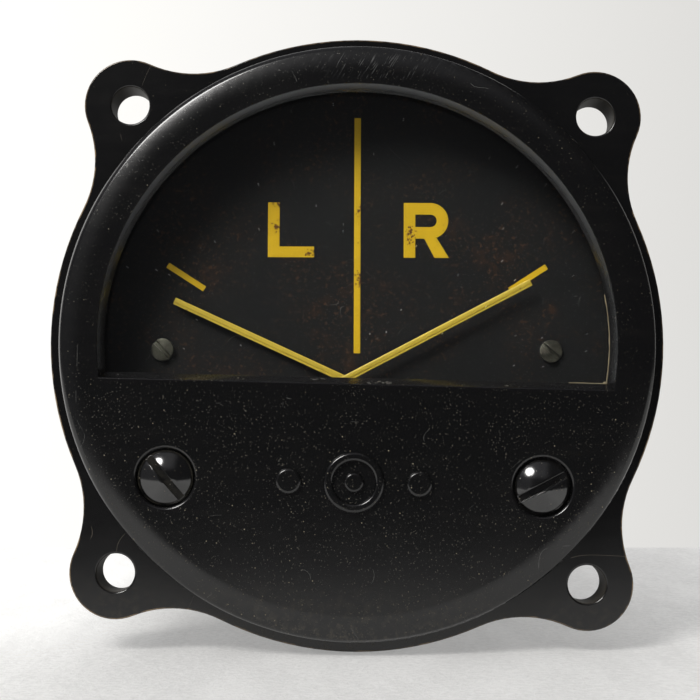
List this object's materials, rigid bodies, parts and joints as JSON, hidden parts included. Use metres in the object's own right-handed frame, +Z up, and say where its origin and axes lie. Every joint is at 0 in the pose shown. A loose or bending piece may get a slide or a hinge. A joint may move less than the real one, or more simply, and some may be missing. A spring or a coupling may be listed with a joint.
{
  "type": "direction finder indicator",
  "caption": "Round panel instrument with a D-shaped window, crossed yellow pointers over a black dial, zero adjusters and a flange with lugs.",
  "frame": {"origin": "centre of the mounting bolt circle on the rear face of the flange", "axes": "the dial faces -Y, the case runs back along +Y, +Z is up and +X is to the right seen from the front"},
  "size_m": [0.0822, 0.0757, 0.0822],
  "materials": {
    "phenolic": "polished black phenolic moulding",
    "window_glass": "clear",
    "sealing_compound": "dried tan compound",
    "black_lacquer": "matt black lacquer on brass",
    "dial_black": "matt black paint with rusty mottling",
    "dial_yellow": "old yellow paint",
    "pointer_yellow": "yellow paint on aluminium",
    "nickel": "dull nickel plate",
    "adjuster_black": "gloss black on brass",
    "brass": "turned, slightly tarnished",
    "steel": "turned",
    "magnet_steel": "ground cobalt steel",
    "soft_iron": "machined",
    "copper": "enamelled winding",
    "spring_bronze": "bright strip",
    "fibre": "vulcanised fibre",
    "gasket_rubber": "matt",
    "wire_sleeving": "varnished sleeving",
    "tinned_brass": "tinned"
  },
  "bodies": {
    "case": {"front_moulding": "phenolic", "window_glass": "window_glass", "glass_seal": "sealing_compound", "glass_retainer": "black_lacquer", "retainer_screws": "brass", "dial_plate": "dial_black", "dial_markings": "dial_yellow", "dial_screws": "nickel", "dial_posts": "brass", "chassis_plate": "brass", "chassis_pillars": "brass", "chassis_screws": "steel", "left_magnet": "magnet_steel", "right_magnet": "magnet_steel", "left_pole_pieces": "soft_iron", "right_pole_pieces": "soft_iron", "armature_cores": "soft_iron", "core_brackets": "brass", "core_bracket_screws": "steel", "magnet_screws": "steel", "left_front_bridge": "brass", "right_front_bridge": "brass", "front_bridge_screws": "steel", "front_jewel_screws": "brass", "left_rear_bridge": "brass", "right_rear_bridge": "brass", "insulating_bushes": "fibre", "rear_bridge_screws": "steel", "rear_jewel_screws": "brass", "rear_hairsprings": "spring_bronze", "adjuster_washers": "brass", "case_gasket": "gasket_rubber", "rear_case": "phenolic", "case_screws": "steel", "screw_inserts": "brass", "terminal_studs": "brass", "terminal_nuts": "brass", "terminal_thumb_nuts": "brass", "terminal_washers": "brass", "solder_tags": "tinned_brass", "lead_wires": "wire_sleeving"},
    "left_pointer_system": {"left_pointer": "pointer_yellow", "left_pivot_staff": "steel", "left_moving_coil": "copper", "left_balance_weights": "brass"},
    "right_pointer_system": {"right_pointer": "pointer_yellow", "right_pivot_staff": "steel", "right_moving_coil": "copper", "right_balance_weights": "brass"},
    "left_lever": {"left_zero_lever": "brass", "left_front_hairspring": "spring_bronze"},
    "right_lever": {"right_zero_lever": "brass", "right_front_hairspring": "spring_bronze"},
    "left_adjuster": {"left_zero_adjuster": "adjuster_black", "left_adjuster_clip": "steel"},
    "right_adjuster": {"right_zero_adjuster": "adjuster_black", "right_adjuster_clip": "steel"}
  },
  "joints": [
    {"name": "left_pointer_turn", "type": "hinge", "parent": "case", "child": "left_pointer_system", "pos_m": [-0.02167, 0, -0.01591], "axis": [0, -1, 0], "range_deg": [-5.3, 36.5], "stiffness_Nm_per_rad": 0.00005},
    {"name": "right_pointer_turn", "type": "hinge", "parent": "case", "child": "right_pointer_system", "pos_m": [0.02232, 0, -0.01499], "axis": [0, 1, 0], "range_deg": [-2, 39.8], "stiffness_Nm_per_rad": 0.00005},
    {"name": "left_adjuster_turn", "type": "hinge", "parent": "case", "child": "left_adjuster", "pos_m": [-0.0248, -0.0085, -0.01855], "axis": [0, -1, 0], "range_deg": [-60, 60]},
    {"name": "left_lever_turn", "type": "hinge", "parent": "case", "child": "left_lever", "pos_m": [-0.02167, -0.0043, -0.01591], "axis": [0, -1, 0], "range_deg": [-10, 10]},
    {"name": "right_adjuster_turn", "type": "hinge", "parent": "case", "child": "right_adjuster", "pos_m": [0.0248, -0.0085, -0.01855], "axis": [0, -1, 0], "range_deg": [-60, 60]},
    {"name": "right_lever_turn", "type": "hinge", "parent": "case", "child": "right_lever", "pos_m": [0.02232, -0.0043, -0.01499], "axis": [0, -1, 0], "range_deg": [-10, 10]}
  ],
  "couplings": [
    {"joint": "left_lever_turn", "follows": "left_adjuster_turn", "ratio": 0.1521},
    {"joint": "right_lever_turn", "follows": "right_adjuster_turn", "ratio": 0.1445}
  ]
}
